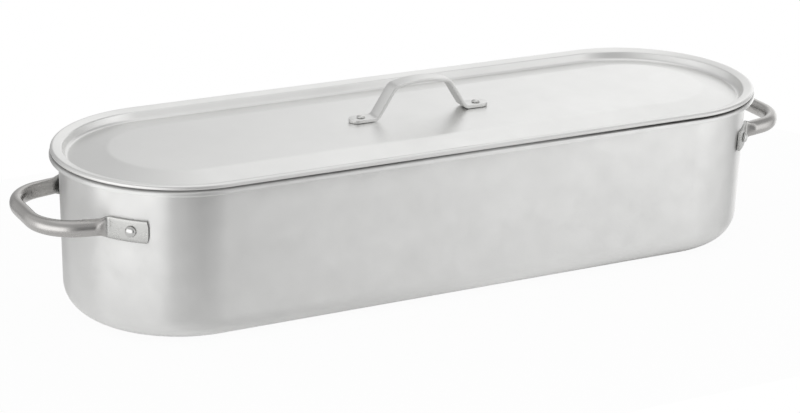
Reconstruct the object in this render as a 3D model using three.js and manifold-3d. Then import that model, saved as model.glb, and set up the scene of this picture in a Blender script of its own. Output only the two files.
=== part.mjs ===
// A long fish kettle in pressed aluminium: a deep pan with rounded ends, a loose lid with a
// strap handle, a bent tube handle riveted to each end, and a perforated lifting rack inside.
// Millimetres, +Z up, +X along the kettle. The origin is the middle of the base's underside.

import * as THREE from "three";
import { mergeVertices } from "three/addons/utils/BufferGeometryUtils.js";
import Module from "manifold-3d";

const wasm = await Module();
wasm.setup();

// Pan: the mouth is measured at the inner edge of the rim's seat, the flat ring under the lid
const mouthLength = 600;
const mouthWidth = 186.5;
const panHeight = 124.3;
const panWall = 2;
const panDraft = 1.9;
const panCornerRadius = 21;
const rimFlareRadius = 3.7;
const rimSeatWidth = 1.6;
const rimLipOverhang = 5.2;
const rimLipHeight = 3.9;
const rimLipFall = 0.9;
const rimLipRadius = 1;
const rimCoveRadius = 1.5;

// Lid: heights are measured from the top of the pan's rim
const lidSheet = 1.6;
const lidEdgeInset = 0.5;
const lidEdgeHeight = 5;
const lidEdgeRadius = 2;
const lidFlangeWidth = 9.2;
const lidFlangeHeight = 2.7;
const lidCrestRadius = 1.6;
const lidStepRun = 2.4;
const lidStepRadius = 3.3;
const lidValleyDepth = 4.6;
const lidPanelHeight = 1.7;
const lidBorderWidth = 32;
const lidBorderRadius = 60;
const lidHemWidth = 4.2;
const lidHemRise = 0.9;

// Lid handle: a flat strap bent along the kettle
const lidStrapWidth = 13;
const lidStrapThickness = 2.8;
const lidStrapLength = 124;
const lidStrapKneeSpacing = 80;
const lidStrapTopSpacing = 49;
const lidStrapRise = 24.2;
const lidStrapCrown = 2.8;
const lidStrapKneeRadius = 6;
const lidStrapTopRadius = 7;
const lidRivetSpacing = 104;

// End handles: an oval tube whose ends are pressed flat against the rounded ends of the pan
const gripTubeThickness = 10.5;
const gripTubeHeight = 13;
const gripPlateThickness = 2.2;
const gripPlateHeight = 17.2;
const gripDrop = 34.3;
const gripFingerGap = 28;
const gripCornerSpacing = 80;
const gripCornerRadius = 34;
const gripNeckRadius = 8;
const gripNeckAngle = THREE.MathUtils.degToRad(33);
const gripRivetAngle = THREE.MathUtils.degToRad(45);
const gripPlateEndAngle = THREE.MathUtils.degToRad(52.5);

// Rivets: domed head outside, low head inside
const gripRivetShank = 5;
const gripRivetHead = 8.6;
const gripRivetHeadHeight = 2.6;
const gripRivetTail = 8;
const gripRivetTailHeight = 1.6;
const smallRivetShank = 3.2;
const smallRivetHead = 6.8;
const smallRivetHeadHeight = 1.6;
const smallRivetTail = 6.4;
const smallRivetTailHeight = 1.2;

// Rack: a perforated plate on four bent feet, with an upright strap handle near each end
const rackSheet = 1.5;
const rackSideGap = 12;
const rackHemHeight = 3.2;
const rackHemRadius = 2.4;
const rackFootHeight = 10;
const rackStrapThickness = 2;
const rackStrapWidth = 14;
const rackHandleInset = 8;
const rackHandleWidth = 62;
const rackHandleTopGap = 17.9;
const rackHandleTopRadius = 13;
const rackStrapBendRadius = 4;
const rackTabLength = 17;
const rackFootToeLength = 13;
const rackHoleDiameter = 12;
const rackHolePitchX = 38;
const rackHolePitchY = 28;
const rackHoleMargin = 5;

// Running gap kept between pieces that touch
const seatGap = 0.3;

// Facets
const endSteps = 20;
const arcSag = 0.2;
const roundSteps = 10;
const tubeSides = 12;
const tubeSwellStep = 3;
const tubeStep = 9;
const plateFacetDip = 0.2;

// Shared places worked out from the sizes above
const mouthRadius = mouthWidth / 2;
const halfRun = (mouthLength - mouthWidth) / 2;
const rimRadius = mouthRadius + rimLipOverhang;
const wallTopRadius = mouthRadius - rimFlareRadius + panWall;
const wallBaseRadius = wallTopRadius - panDraft;
const lidRadius = rimRadius - lidEdgeInset;
const gripCentreHeight = panHeight - gripDrop;
const lidPanelTop = panHeight + lidPanelHeight;

// The outer radius of the drafted pan wall at a height above the base
function wallRadiusAt(height) {
  return wallBaseRadius + (panDraft * height) / panHeight;
}

// A polyline of [x, y, cornerRadius] entries whose corners are rounded into arcs
function roundedPath(corners) {
  const path = [];
  corners.forEach(([x, y, radius = 0], index) => {
    const corner = new THREE.Vector2(x, y);
    if (radius === 0) {
      path.push(corner);
      return;
    }
    const [beforeX, beforeY] = corners[index - 1];
    const [afterX, afterY] = corners[index + 1];
    const back = new THREE.Vector2(beforeX, beforeY).sub(corner);
    const ahead = new THREE.Vector2(afterX, afterY).sub(corner);
    const room = Math.min(back.length(), ahead.length()) * 0.95;
    back.normalize();
    ahead.normalize();
    const turn = Math.PI - Math.acos(THREE.MathUtils.clamp(back.dot(ahead), -1, 1));
    const tangent = Math.min(radius * Math.tan(turn / 2), room);
    const bend = tangent / Math.tan(turn / 2);
    const centre = back.clone().add(ahead).normalize();
    centre.multiplyScalar(bend / Math.cos(turn / 2)).add(corner);
    const start = back.clone().multiplyScalar(tangent).add(corner);
    const side = Math.sign(back.cross(ahead)) || 1;
    const facetTurn = 2 * Math.acos(Math.max(1 - arcSag / bend, 0));
    const steps = Math.ceil(turn / facetTurn);
    for (let step = 0; step <= steps; step += 1) {
      path.push(start.clone().rotateAround(centre, (-side * turn * step) / steps));
    }
  });
  return path;
}

// The line that runs beside an open path, to its left where the distance is positive
function offsetLine(path, distance) {
  return path.map((point, index) => {
    const before = path[Math.max(index - 1, 0)];
    const after = path[Math.min(index + 1, path.length - 1)];
    const first = point.clone().sub(before);
    const second = after.clone().sub(point);
    if (index === 0) first.copy(second);
    if (index === path.length - 1) second.copy(first);
    first.normalize();
    second.normalize();
    const along = first.clone().add(second).normalize();
    const reach = distance / Math.max(along.dot(second), 0.5);
    return new THREE.Vector2(point.x - along.y * reach, point.y + along.x * reach);
  });
}

// Shared vertices merged, collapsed triangles dropped and every face turned outwards
function closed(geometry) {
  geometry.deleteAttribute("normal");
  geometry.deleteAttribute("uv");
  const merged = mergeVertices(geometry, 1e-3);
  const places = merged.getAttribute("position");
  const corner = [0, 1, 2].map(() => new THREE.Vector3());
  const kept = [];
  let volume = 0;
  for (let start = 0; start < merged.index.count; start += 3) {
    const face = [0, 1, 2].map((step) => merged.index.getX(start + step));
    if (new Set(face).size < 3) continue;
    face.forEach((vertex, step) => corner[step].fromBufferAttribute(places, vertex));
    volume += corner[0].dot(corner[1].clone().cross(corner[2]));
    kept.push(face);
  }
  const outward = volume > 0 ? kept : kept.map(([a, b, c]) => [a, c, b]);
  merged.setIndex(outward.flat());
  return merged;
}

function toManifold(geometry) {
  const shape = closed(geometry);
  const vertProperties = new Float32Array(shape.getAttribute("position").array);
  const triVerts = new Uint32Array(shape.index.array);
  return new wasm.Manifold(new wasm.Mesh({ numProp: 3, vertProperties, triVerts }));
}

function toGeometry(manifold) {
  const mesh = manifold.getMesh();
  const geometry = new THREE.BufferGeometry();
  geometry.setAttribute("position", new THREE.BufferAttribute(mesh.vertProperties, 3));
  geometry.setIndex(new THREE.BufferAttribute(mesh.triVerts, 1));
  return geometry;
}

function cutAway(geometry, cutters) {
  return toGeometry(cutters.reduce((left, cutter) => left.subtract(toManifold(cutter)),
    toManifold(geometry)));
}

// A closed skin through rings that all have the same number of points, with flat ends
function skin(rings, capFaces) {
  const count = rings[0].length;
  const faces = [];
  for (let ring = 0; ring < rings.length - 1; ring += 1) {
    for (let side = 0; side < count; side += 1) {
      const next = (side + 1) % count;
      const low = ring * count;
      const high = low + count;
      faces.push([low + side, high + side, high + next], [low + side, high + next, low + next]);
    }
  }
  const last = (rings.length - 1) * count;
  capFaces(count).forEach(([a, b, c]) => {
    faces.push([a, b, c], [last + a, last + c, last + b]);
  });
  const geometry = new THREE.BufferGeometry().setFromPoints(rings.flat());
  geometry.setIndex(faces.flat());
  return geometry;
}

// A profile of [radius, height] points swept round the kettle's long rounded plan
function longRound(profile) {
  const rings = profile.map(({ x: radius, y: height }) => {
    const ring = [];
    [0, 1].forEach((end) => {
      for (let step = 0; step <= endSteps; step += 1) {
        const angle = Math.PI * (end - 0.5 + step / endSteps);
        const middle = end === 0 ? halfRun : -halfRun;
        const x = middle + radius * Math.cos(angle);
        ring.push(new THREE.Vector3(x, radius * Math.sin(angle), height));
      }
    });
    return ring;
  });
  const flatCap = (count) => {
    const faces = [];
    for (let side = 0; side < count / 2 - 1; side += 1) {
      const across = count - 1 - side;
      faces.push([side, side + 1, across - 1], [side, across - 1, across]);
    }
    return faces;
  };
  return closed(skin(rings, flatCap));
}

// A flat strap bent along a path in its own upright plane, with its width across that plane
function bentStrap(corners, thickness, width) {
  const middle = roundedPath(corners);
  const outline = [
    ...offsetLine(middle, thickness / 2),
    ...offsetLine(middle, -thickness / 2).reverse(),
  ];
  const options = { depth: width, bevelEnabled: false };
  const strap = new THREE.ExtrudeGeometry(new THREE.Shape(outline), options);
  strap.translate(0, 0, -width / 2);
  strap.rotateX(Math.PI / 2);
  return strap;
}

function roundBar(diameter, length) {
  return new THREE.CylinderGeometry(diameter / 2, diameter / 2, length, roundSteps)
    .rotateX(Math.PI / 2);
}

// A set rivet on the Z axis: z = 0 is the face under its domed head, the shank hangs below
function rivetShape(grip, shank, head, headHeight, tail, tailHeight) {
  const domeSteps = 3;
  const profile = [
    new THREE.Vector2(0, -grip - tailHeight),
    new THREE.Vector2(tail * 0.36, -grip - tailHeight),
    new THREE.Vector2(tail / 2, -grip - tailHeight * 0.4),
    new THREE.Vector2(tail / 2, -grip),
    new THREE.Vector2(shank / 2, -grip),
    new THREE.Vector2(shank / 2, 0),
  ];
  for (let step = 0; step <= domeSteps; step += 1) {
    const angle = (Math.PI / 2) * (step / domeSteps);
    profile.push(new THREE.Vector2((head / 2) * Math.cos(angle), headHeight * Math.sin(angle)));
  }
  profile[profile.length - 1].x = 0;
  return closed(new THREE.LatheGeometry(profile, roundSteps).rotateX(Math.PI / 2));
}

// Materials
const satinAluminium = { color: 0xcfcfcd, roughness: 0.42, metalness: 0.9 };
const brightAluminium = { color: 0xdcdcda, roughness: 0.26, metalness: 0.95 };
const plainSteel = { color: 0x8e8b87, roughness: 0.3, metalness: 1 };

const kettle = new THREE.Group();

function addPiece(name, geometry, finish, parent = kettle) {
  const mesh = new THREE.Mesh(geometry, new THREE.MeshStandardMaterial(finish));
  mesh.name = name;
  parent.add(mesh);
  return mesh;
}

// Places of the end handle's plates and rivets, seen from the middle of a rounded end
const gripPlateTop = gripCentreHeight + gripPlateHeight / 2;
const gripPlateInner = wallRadiusAt(gripPlateTop) + seatGap;
const gripPlateMiddle = gripPlateInner + gripPlateThickness / 2;
const gripRivetSeat = gripPlateInner + gripPlateThickness + seatGap;
const gripWallInner = wallRadiusAt(gripCentreHeight - gripRivetTail / 2) - panWall;
const gripRivetGrip = gripRivetSeat - gripWallInner + seatGap;

// The pan: pressed from one sheet, with a flared rim that falls to a thicker rolled lip
function panGeometry() {
  const flatRadius = wallBaseRadius - panCornerRadius;
  const innerCorner = panCornerRadius - panWall;
  const start = flatRadius / 2;
  const profile = roundedPath([
    [start, panWall],
    [wallBaseRadius - panWall, panWall, innerCorner],
    [wallTopRadius - panWall, panHeight, rimFlareRadius],
    [mouthRadius + rimSeatWidth, panHeight],
    [rimRadius, panHeight - rimLipFall, rimLipRadius],
    [rimRadius, panHeight - rimLipHeight],
    [wallTopRadius, panHeight - rimLipHeight, rimCoveRadius],
    [wallBaseRadius, 0, panCornerRadius],
    [start, 0],
  ]);
  const holes = [];
  [-1, 1].forEach((end) => {
    [-1, 1].forEach((side) => {
      const hole = roundBar(gripRivetShank + 2 * seatGap, 6 * panWall);
      hole.rotateY(Math.PI / 2);
      hole.translate(wallRadiusAt(gripCentreHeight) - panWall / 2, 0, 0);
      hole.rotateZ(side * gripRivetAngle);
      hole.translate(halfRun, 0, gripCentreHeight);
      if (end < 0) hole.rotateZ(Math.PI);
      holes.push(hole);
    });
  });
  return cutAway(longRound(profile), holes);
}

// Plan of the tube's middle line for the +X end, measured from the middle of the rounded end
function gripPath() {
  const plateSteps = 5;
  const reach = wallRadiusAt(gripCentreHeight) + gripFingerGap + gripTubeThickness / 2;
  const plate = [];
  for (let step = 0; step < plateSteps; step += 1) {
    const share = step / plateSteps;
    const angle = THREE.MathUtils.lerp(gripPlateEndAngle, gripNeckAngle, share);
    plate.push([gripPlateMiddle * Math.cos(angle), -gripPlateMiddle * Math.sin(angle)]);
  }
  const neckX = gripPlateMiddle * Math.cos(gripNeckAngle);
  const neckY = -gripPlateMiddle * Math.sin(gripNeckAngle);
  const half = [
    ...plate,
    [neckX, neckY, gripNeckRadius],
    [reach, -gripCornerSpacing / 2, gripCornerRadius],
  ];
  const otherHalf = half.map(([x, y, ...radius]) => [x, -y, ...radius]).reverse();
  const path = roundedPath([...half, ...otherHalf]);
  const refined = [path[0]];
  path.slice(1).forEach((point, index) => {
    const from = path[index];
    const nearer = Math.min(from.length(), point.length()) - gripPlateMiddle;
    const farther = Math.max(from.length(), point.length()) - gripPlateMiddle;
    const swells = farther > plateFacetDip && gripThickness(nearer) < gripTubeThickness;
    const pieces = Math.ceil(from.distanceTo(point) / (swells ? tubeSwellStep : tubeStep));
    for (let piece = 1; piece <= pieces; piece += 1) {
      refined.push(from.clone().lerp(point, piece / pieces));
    }
  });
  return refined;
}

// The tube's section swells from a pressed flat plate to an oval as it leaves the wall
function gripThickness(distanceFromPlate) {
  const free = gripPlateThickness + 1.8 * distanceFromPlate;
  return THREE.MathUtils.clamp(free, gripPlateThickness, gripTubeThickness);
}

function gripSection(distanceFromPlate) {
  const thickness = gripThickness(distanceFromPlate);
  const fullness = (thickness - gripPlateThickness) / (gripTubeThickness - gripPlateThickness);
  const height = THREE.MathUtils.lerp(gripPlateHeight, gripTubeHeight, fullness);
  const squareness = THREE.MathUtils.lerp(0.25, 0.95, Math.sqrt(fullness));
  const section = [];
  for (let side = 0; side < tubeSides; side += 1) {
    const angle = (2 * Math.PI * (side + 0.5)) / tubeSides;
    const across = Math.sign(Math.cos(angle)) * Math.abs(Math.cos(angle)) ** squareness;
    const up = Math.sign(Math.sin(angle)) * Math.abs(Math.sin(angle)) ** squareness;
    section.push([(across * thickness) / 2, (up * height) / 2]);
  }
  return section;
}

function gripGeometry() {
  const path = gripPath();
  const rings = path.map((point, index) => {
    const before = path[Math.max(index - 1, 0)];
    const after = path[Math.min(index + 1, path.length - 1)];
    const along = after.clone().sub(before).normalize();
    const outward = new THREE.Vector2(along.y, -along.x);
    const away = Math.max(point.length() - gripPlateMiddle, 0);
    return gripSection(away).map(([across, up]) => {
      const spot = point.clone().addScaledVector(outward, across);
      return new THREE.Vector3(spot.x, spot.y, up);
    });
  });
  const fan = (count) => {
    const faces = [];
    for (let side = 1; side < count - 1; side += 1) faces.push([0, side, side + 1]);
    return faces;
  };
  const holes = [-1, 1].map((side) => {
    const hole = roundBar(gripRivetShank + 2 * seatGap, 4 * gripPlateThickness);
    hole.rotateY(Math.PI / 2);
    hole.translate(gripPlateMiddle, 0, 0);
    return hole.rotateZ(side * gripRivetAngle);
  });
  return cutAway(skin(rings, fan), holes);
}

// The lid: a pressed sheet whose flange dishes down from its edge to a crest, from where a step
// drops into the pan's mouth. Inside the step a soft border rises again to a flat middle. The
// flange's edge is folded in to a solid hem, whose inner corner sits on the pan's seat.
function lidGeometry() {
  const crestRadius = lidRadius - lidFlangeWidth;
  const stepFoot = crestRadius - lidStepRun;
  const panelRadius = stepFoot - lidBorderWidth;
  const flangeSlope = (lidEdgeHeight - lidFlangeHeight) / lidFlangeWidth;
  const hemRadius = lidRadius - lidHemWidth;
  const hemTop = panHeight + lidEdgeHeight - lidHemWidth * flangeSlope;
  const seat = panHeight + seatGap;
  const sheet = roundedPath([
    [panelRadius / 2, lidPanelTop],
    [panelRadius, lidPanelTop, lidBorderRadius],
    [stepFoot, panHeight - lidValleyDepth, lidStepRadius],
    [crestRadius, panHeight + lidFlangeHeight, lidCrestRadius],
    [hemRadius, hemTop],
  ]);
  const edge = roundedPath([
    [hemRadius, hemTop],
    [lidRadius, panHeight + lidEdgeHeight, lidEdgeRadius],
    [lidRadius, seat + lidHemRise],
    [hemRadius, seat],
  ]);
  const under = offsetLine(sheet, -lidSheet).reverse();
  const profile = [...sheet, ...edge.slice(1), ...under];
  const holes = [-1, 1].map((end) => roundBar(smallRivetShank + 2 * seatGap, 8 * lidSheet)
    .translate((end * lidRivetSpacing) / 2, 0, lidPanelTop));
  return cutAway(longRound(profile), holes);
}

// The lid's strap handle, with rounded ends and a hole for each rivet
function lidHandleGeometry() {
  const footMiddle = lidPanelTop + seatGap + lidStrapThickness / 2;
  const bendTop = footMiddle + lidStrapRise;
  const half = [
    [-lidStrapLength / 2, footMiddle],
    [-lidStrapKneeSpacing / 2, footMiddle, lidStrapKneeRadius],
    [-lidStrapTopSpacing / 2, bendTop, lidStrapTopRadius],
  ];
  const crownRadius = lidStrapTopSpacing ** 2 / (8 * lidStrapCrown);
  const crown = [0, bendTop + 2 * lidStrapCrown, crownRadius * 0.8];
  const otherHalf = half.map(([x, y, ...radius]) => [-x, y, ...radius]).reverse();
  const strap = bentStrap([...half, crown, ...otherHalf], lidStrapThickness, lidStrapWidth);
  const plan = new THREE.Shape();
  const endMiddle = (lidStrapLength - lidStrapWidth) / 2;
  plan.absarc(endMiddle, 0, lidStrapWidth / 2, -Math.PI / 2, Math.PI / 2);
  plan.absarc(-endMiddle, 0, lidStrapWidth / 2, Math.PI / 2, Math.PI * 1.5);
  const blank = new THREE.ExtrudeGeometry(plan, {
    depth: 2 * lidStrapRise,
    bevelEnabled: false,
    curveSegments: 8,
  });
  blank.translate(0, 0, lidPanelTop);
  const rounded = toGeometry(toManifold(strap).intersect(toManifold(blank)));
  const holes = [-1, 1].map((end) => roundBar(smallRivetShank + 2 * seatGap, 20)
    .translate((end * lidRivetSpacing) / 2, 0, footMiddle));
  return cutAway(rounded, holes);
}

// Rack levels and places
const rackPlateTop = panWall + seatGap + rackFootHeight + seatGap + rackSheet;
const rackPlateRadius = wallTopRadius - panWall - rackSideGap;
const rackHandleX = halfRun + rackHandleInset;
const rackTabMiddle = rackHandleWidth / 2 + rackTabLength / 2;

function rackPlateGeometry() {
  const outer = roundedPath([
    [rackPlateRadius / 2, rackPlateTop],
    [rackPlateRadius, rackPlateTop, rackHemRadius],
    [rackPlateRadius, rackPlateTop - rackHemHeight],
  ]);
  const profile = [...outer, ...offsetLine(outer, -rackSheet).reverse()];
  const spots = [];
  const columns = Math.floor((halfRun + rackPlateRadius) / rackHolePitchX);
  const rows = Math.floor(rackPlateRadius / rackHolePitchY) * 2;
  for (let column = -columns; column <= columns; column += 1) {
    for (let row = -rows; row <= rows; row += 1) {
      if ((column + row) % 2 === 0) {
        spots.push([column * rackHolePitchX, (row * rackHolePitchY) / 2]);
      }
    }
  }
  const inside = rackPlateRadius - rackHemRadius - rackHoleMargin - rackHoleDiameter / 2;
  const tabHalf = rackTabLength / 2 + rackHoleMargin + rackHoleDiameter / 2;
  const sideHalf = rackStrapWidth / 2 + rackHoleMargin + rackHoleDiameter / 2;
  const free = spots.filter(([x, y]) => {
    const beyond = Math.max(Math.abs(x) - halfRun, 0);
    const underTab = Math.abs(Math.abs(x) - rackHandleX) < sideHalf
      && Math.abs(Math.abs(y) - rackTabMiddle) < tabHalf;
    return Math.hypot(beyond, y) < inside && !underTab;
  });
  const holes = free.map(([x, y]) => new THREE.CylinderGeometry(
    rackHoleDiameter / 2, rackHoleDiameter / 2, 6 * rackSheet, roundSteps,
  ).rotateX(Math.PI / 2).translate(x, y, rackPlateTop));
  [-1, 1].forEach((end) => {
    [-1, 1].forEach((side) => {
      holes.push(roundBar(smallRivetShank + 2 * seatGap, 6 * rackSheet)
        .translate(end * rackHandleX, side * rackTabMiddle, rackPlateTop));
    });
  });
  return cutAway(longRound(profile), holes);
}

// An upright loop across the rack, in a plane square to the kettle's length
function rackHandleGeometry() {
  const tabLevel = rackPlateTop + seatGap + rackStrapThickness / 2;
  const topLevel = panHeight - rackHandleTopGap - rackStrapThickness / 2;
  const half = [
    [-rackHandleWidth / 2 - rackTabLength, tabLevel],
    [-rackHandleWidth / 2, tabLevel, rackStrapBendRadius],
    [-rackHandleWidth / 2, topLevel, rackHandleTopRadius],
  ];
  const otherHalf = half.map(([y, z, ...radius]) => [-y, z, ...radius]).reverse();
  const loop = bentStrap([...half, ...otherHalf], rackStrapThickness, rackStrapWidth);
  loop.rotateZ(Math.PI / 2);
  const holes = [-1, 1].map((side) => roundBar(smallRivetShank + 2 * seatGap, 20)
    .translate(0, side * rackTabMiddle, tabLevel));
  return cutAway(loop, holes);
}

// A foot under one tab: a short strap bent down from the plate and in along the pan's floor
function rackFootGeometry() {
  const tabLevel = rackPlateTop - rackSheet - seatGap - rackStrapThickness / 2;
  const toeLevel = panWall + seatGap + rackStrapThickness / 2;
  const legPlace = rackHandleWidth / 2;
  const foot = bentStrap([
    [legPlace + rackTabLength, tabLevel],
    [legPlace, tabLevel, rackStrapBendRadius],
    [legPlace, toeLevel, rackStrapBendRadius],
    [legPlace - rackFootToeLength, toeLevel],
  ], rackStrapThickness, rackStrapWidth);
  foot.rotateZ(Math.PI / 2);
  const hole = roundBar(smallRivetShank + 2 * seatGap, 10);
  return cutAway(foot, [hole.translate(0, rackTabMiddle, tabLevel)]);
}

const gripRivet = () => rivetShape(gripRivetGrip, gripRivetShank, gripRivetHead,
  gripRivetHeadHeight, gripRivetTail, gripRivetTailHeight);

const smallRivet = (grip) => rivetShape(grip, smallRivetShank, smallRivetHead,
  smallRivetHeadHeight, smallRivetTail, smallRivetTailHeight);

addPiece("kettle_body", panGeometry(), satinAluminium);

// Each end of the kettle: a group turned half round for the left end
[["right", 0], ["left", Math.PI]].forEach(([end, turn]) => {
  const group = new THREE.Group();
  group.rotation.z = turn;
  kettle.add(group);
  const grip = addPiece(`end_handle_${end}`, gripGeometry(), plainSteel, group);
  grip.position.set(halfRun, 0, gripCentreHeight);
  [["a", -1], ["b", 1]].forEach(([letter, side]) => {
    const angle = side * gripRivetAngle;
    const name = `end_handle_rivet_${end}_${letter}`;
    const rivet = addPiece(name, gripRivet(), brightAluminium, group);
    rivet.rotation.set(0, Math.PI / 2, angle, "ZYX");
    rivet.position.set(
      halfRun + gripRivetSeat * Math.cos(angle),
      gripRivetSeat * Math.sin(angle),
      gripCentreHeight,
    );
  });
});

addPiece("lid", lidGeometry(), satinAluminium);
addPiece("lid_handle", lidHandleGeometry(), brightAluminium);
const lidRivetGrip = lidStrapThickness + lidSheet + 3 * seatGap;
[["left", -1], ["right", 1]].forEach(([end, side]) => {
  const rivet = addPiece(`lid_rivet_${end}`, smallRivet(lidRivetGrip), brightAluminium);
  const seat = lidPanelTop + lidStrapThickness + 2 * seatGap;
  rivet.position.set((side * lidRivetSpacing) / 2, 0, seat);
});

addPiece("rack_plate", rackPlateGeometry(), satinAluminium);
const rackRivetGrip = 2 * rackStrapThickness + rackSheet + 4 * seatGap;
[["left", -1], ["right", 1]].forEach(([end, side]) => {
  const handle = addPiece(`rack_handle_${end}`, rackHandleGeometry(), brightAluminium);
  handle.position.x = side * rackHandleX;
  [["front", Math.PI, -1], ["back", 0, 1]].forEach(([place, turn, across]) => {
    const foot = addPiece(`rack_foot_${end}_${place}`, rackFootGeometry(), brightAluminium);
    foot.rotation.z = turn;
    foot.position.x = side * rackHandleX;
    const name = `rack_rivet_${end}_${place}`;
    const rivet = addPiece(name, smallRivet(rackRivetGrip), brightAluminium);
    const seat = rackPlateTop + rackStrapThickness + 2 * seatGap;
    rivet.position.set(side * rackHandleX, across * rackTabMiddle, seat);
  });
});

export default kettle;
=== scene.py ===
# Looks of a long fish kettle in pressed aluminium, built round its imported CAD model.
# Each piece repeats the sizes of its CAD part, in millimetres, with smooth curves. The sizes
# that the CAD part doesn't have, or has otherwise, are headed as the scene's own. The holes
# for the rivets are left out, as each is filled and covered by its rivet.

import math

import bmesh
import bpy
from mathutils import Matrix, Vector


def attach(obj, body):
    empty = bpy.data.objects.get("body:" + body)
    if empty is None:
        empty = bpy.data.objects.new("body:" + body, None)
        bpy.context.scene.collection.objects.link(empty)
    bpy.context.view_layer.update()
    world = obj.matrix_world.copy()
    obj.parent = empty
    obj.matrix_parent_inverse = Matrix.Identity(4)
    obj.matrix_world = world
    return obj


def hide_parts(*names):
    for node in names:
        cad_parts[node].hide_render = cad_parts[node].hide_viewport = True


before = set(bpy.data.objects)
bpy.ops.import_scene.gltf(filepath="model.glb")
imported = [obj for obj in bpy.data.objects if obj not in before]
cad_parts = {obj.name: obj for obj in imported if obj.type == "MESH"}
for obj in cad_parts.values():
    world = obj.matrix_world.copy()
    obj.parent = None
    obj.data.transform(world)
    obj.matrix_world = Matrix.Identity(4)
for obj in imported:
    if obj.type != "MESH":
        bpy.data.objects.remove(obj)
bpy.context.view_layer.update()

MM = 0.001

# Pan
MOUTH_RADIUS = 93.25
HALF_RUN = 206.75
PAN_HEIGHT = 124.3
PAN_WALL = 2
PAN_DRAFT = 1.9
PAN_CORNER_RADIUS = 21
RIM_FLARE_RADIUS = 3.7
RIM_SEAT_WIDTH = 1.6
RIM_LIP_OVERHANG = 5.2
RIM_LIP_HEIGHT = 3.9
RIM_LIP_FALL = 0.9
RIM_LIP_RADIUS = 1
RIM_COVE_RADIUS = 1.5

# Lid: heights are measured from the top of the pan's rim
LID_SHEET = 1.6
LID_EDGE_INSET = 0.5
LID_EDGE_HEIGHT = 5
LID_EDGE_RADIUS = 2
LID_FLANGE_WIDTH = 9.2
LID_FLANGE_HEIGHT = 2.7
LID_CREST_RADIUS = 1.6
LID_STEP_RUN = 2.4
LID_STEP_RADIUS = 3.3
LID_VALLEY_DEPTH = 4.6
LID_PANEL_HEIGHT = 1.7
LID_BORDER_WIDTH = 32
LID_HEM_WIDTH = 4.2

# Lid, the scene's own: a tighter turn from border to middle, and a hem that is a little lower,
# leans in towards its foot and has rounded edges
LID_BORDER_RADIUS = 20
LID_HEM_RISE = 0.75
LID_HEM_LEAN = 0.5
LID_HEM_EDGE = 0.4

# Lid handle
STRAP_WIDTH = 13
STRAP_THICKNESS = 2.8
STRAP_LENGTH = 124
STRAP_KNEE_SPACING = 80
STRAP_TOP_SPACING = 49
STRAP_RISE = 24.2
STRAP_CROWN = 2.8
STRAP_CROWN_SHARE = 0.8
STRAP_KNEE_RADIUS = 6
STRAP_TOP_RADIUS = 7
LID_RIVET_SPACING = 104

# Straps, the scene's own: softened edges, which take at most a share of the half width, and
# half the width of the narrow tip at which a round end stops
STRAP_EDGE = 0.35
RACK_STRAP_EDGE = 0.5
STRAP_EDGE_SHARE = 0.8
STRAP_TIP_HALF = 0.9

# End handles: a section's roundness is 0 for a box and 1 for an oval
TUBE_THICKNESS = 10.5
TUBE_HEIGHT = 13
TUBE_ROUNDNESS = 0.95
PLATE_THICKNESS = 2.2
PLATE_HEIGHT = 17.2
PLATE_ROUNDNESS = 0.25
GRIP_DROP = 34.3
GRIP_FINGER_GAP = 28
GRIP_CORNER_SPACING = 80
GRIP_CORNER_RADIUS = 34
GRIP_NECK_RADIUS = 8
GRIP_NECK_ANGLE = math.radians(33)
GRIP_RIVET_ANGLE = math.radians(45)
GRIP_PLATE_END_ANGLE = math.radians(52.5)

# End handles, the scene's own: how far out from the pressed plate the tube has its full
# thickness and its full height, and how far the free ends bulge
GRIP_SWELL_LENGTH = 8
GRIP_FLARE_LENGTH = 4
GRIP_END_BULGE = 1.5

# Rivets
GRIP_RIVET = {"shank": 5, "head": 8.6, "head_height": 2.6, "tail": 8, "tail_height": 1.6}
SMALL_RIVET = {"shank": 3.2, "head": 6.8, "head_height": 1.6, "tail": 6.4, "tail_height": 1.2}

# Rivets, the scene's own: the tail's outline as shares of its width and height, the straight
# rim and the undercut of the head, and how full its dome is
RIVET_TAIL = ((0, 1), (0.3, 1), (0.42, 0.85), (0.5, 0.35), (0.5, 0))
RIVET_HEAD_RIM = 0.25
RIVET_HEAD_UNDERCUT = 0.15
RIVET_DOME_FULLNESS = 0.9

# Rack
RACK_SHEET = 1.5
RACK_SIDE_GAP = 12
RACK_HEM_HEIGHT = 3.2
RACK_HEM_RADIUS = 2.4
RACK_FOOT_HEIGHT = 10
RACK_STRAP_THICKNESS = 2
RACK_STRAP_WIDTH = 14
RACK_HANDLE_INSET = 8
RACK_HANDLE_WIDTH = 62
RACK_HANDLE_TOP_GAP = 17.9
RACK_HANDLE_TOP_RADIUS = 13
RACK_BEND_RADIUS = 4
RACK_TAB_LENGTH = 17
RACK_TOE_LENGTH = 13
RACK_HOLE_DIAMETER = 12
RACK_HOLE_PITCH_X = 38
RACK_HOLE_PITCH_Y = 28
RACK_HOLE_MARGIN = 5

# The gap kept between pieces that touch
SEAT_GAP = 0.3

# Smoothness
END_STEPS = 72
ROUND_STEPS = 40
HOLE_STEPS = 28
DOME_STEPS = 12
STRAP_END_STEPS = 14
STRAP_EDGE_STEPS = 3
PLATE_STEPS = 14
TUBE_SIDES = 40
TUBE_RING_SPACING = 1.2
TUBE_FIRST_RING = 0.5
ARC_STEP = math.radians(7)
LID_ARC_STEP = math.radians(5)
HEM_ARC_STEP = math.radians(8)
HANDLE_ARC_STEP = math.radians(4)
SHARP_ANGLE = math.radians(32)
GRIP_SHARP_ANGLE = math.radians(50)

# Limits for lines and meshes: the share of a side that a corner may take, how far a mitre
# may reach, and the distances below which points on a line and in a mesh are one
CORNER_ROOM = 0.95
MITRE_LIMIT = 0.5
SAME_PLACE = 0.02
WELD_DISTANCE = 0.001

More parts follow.
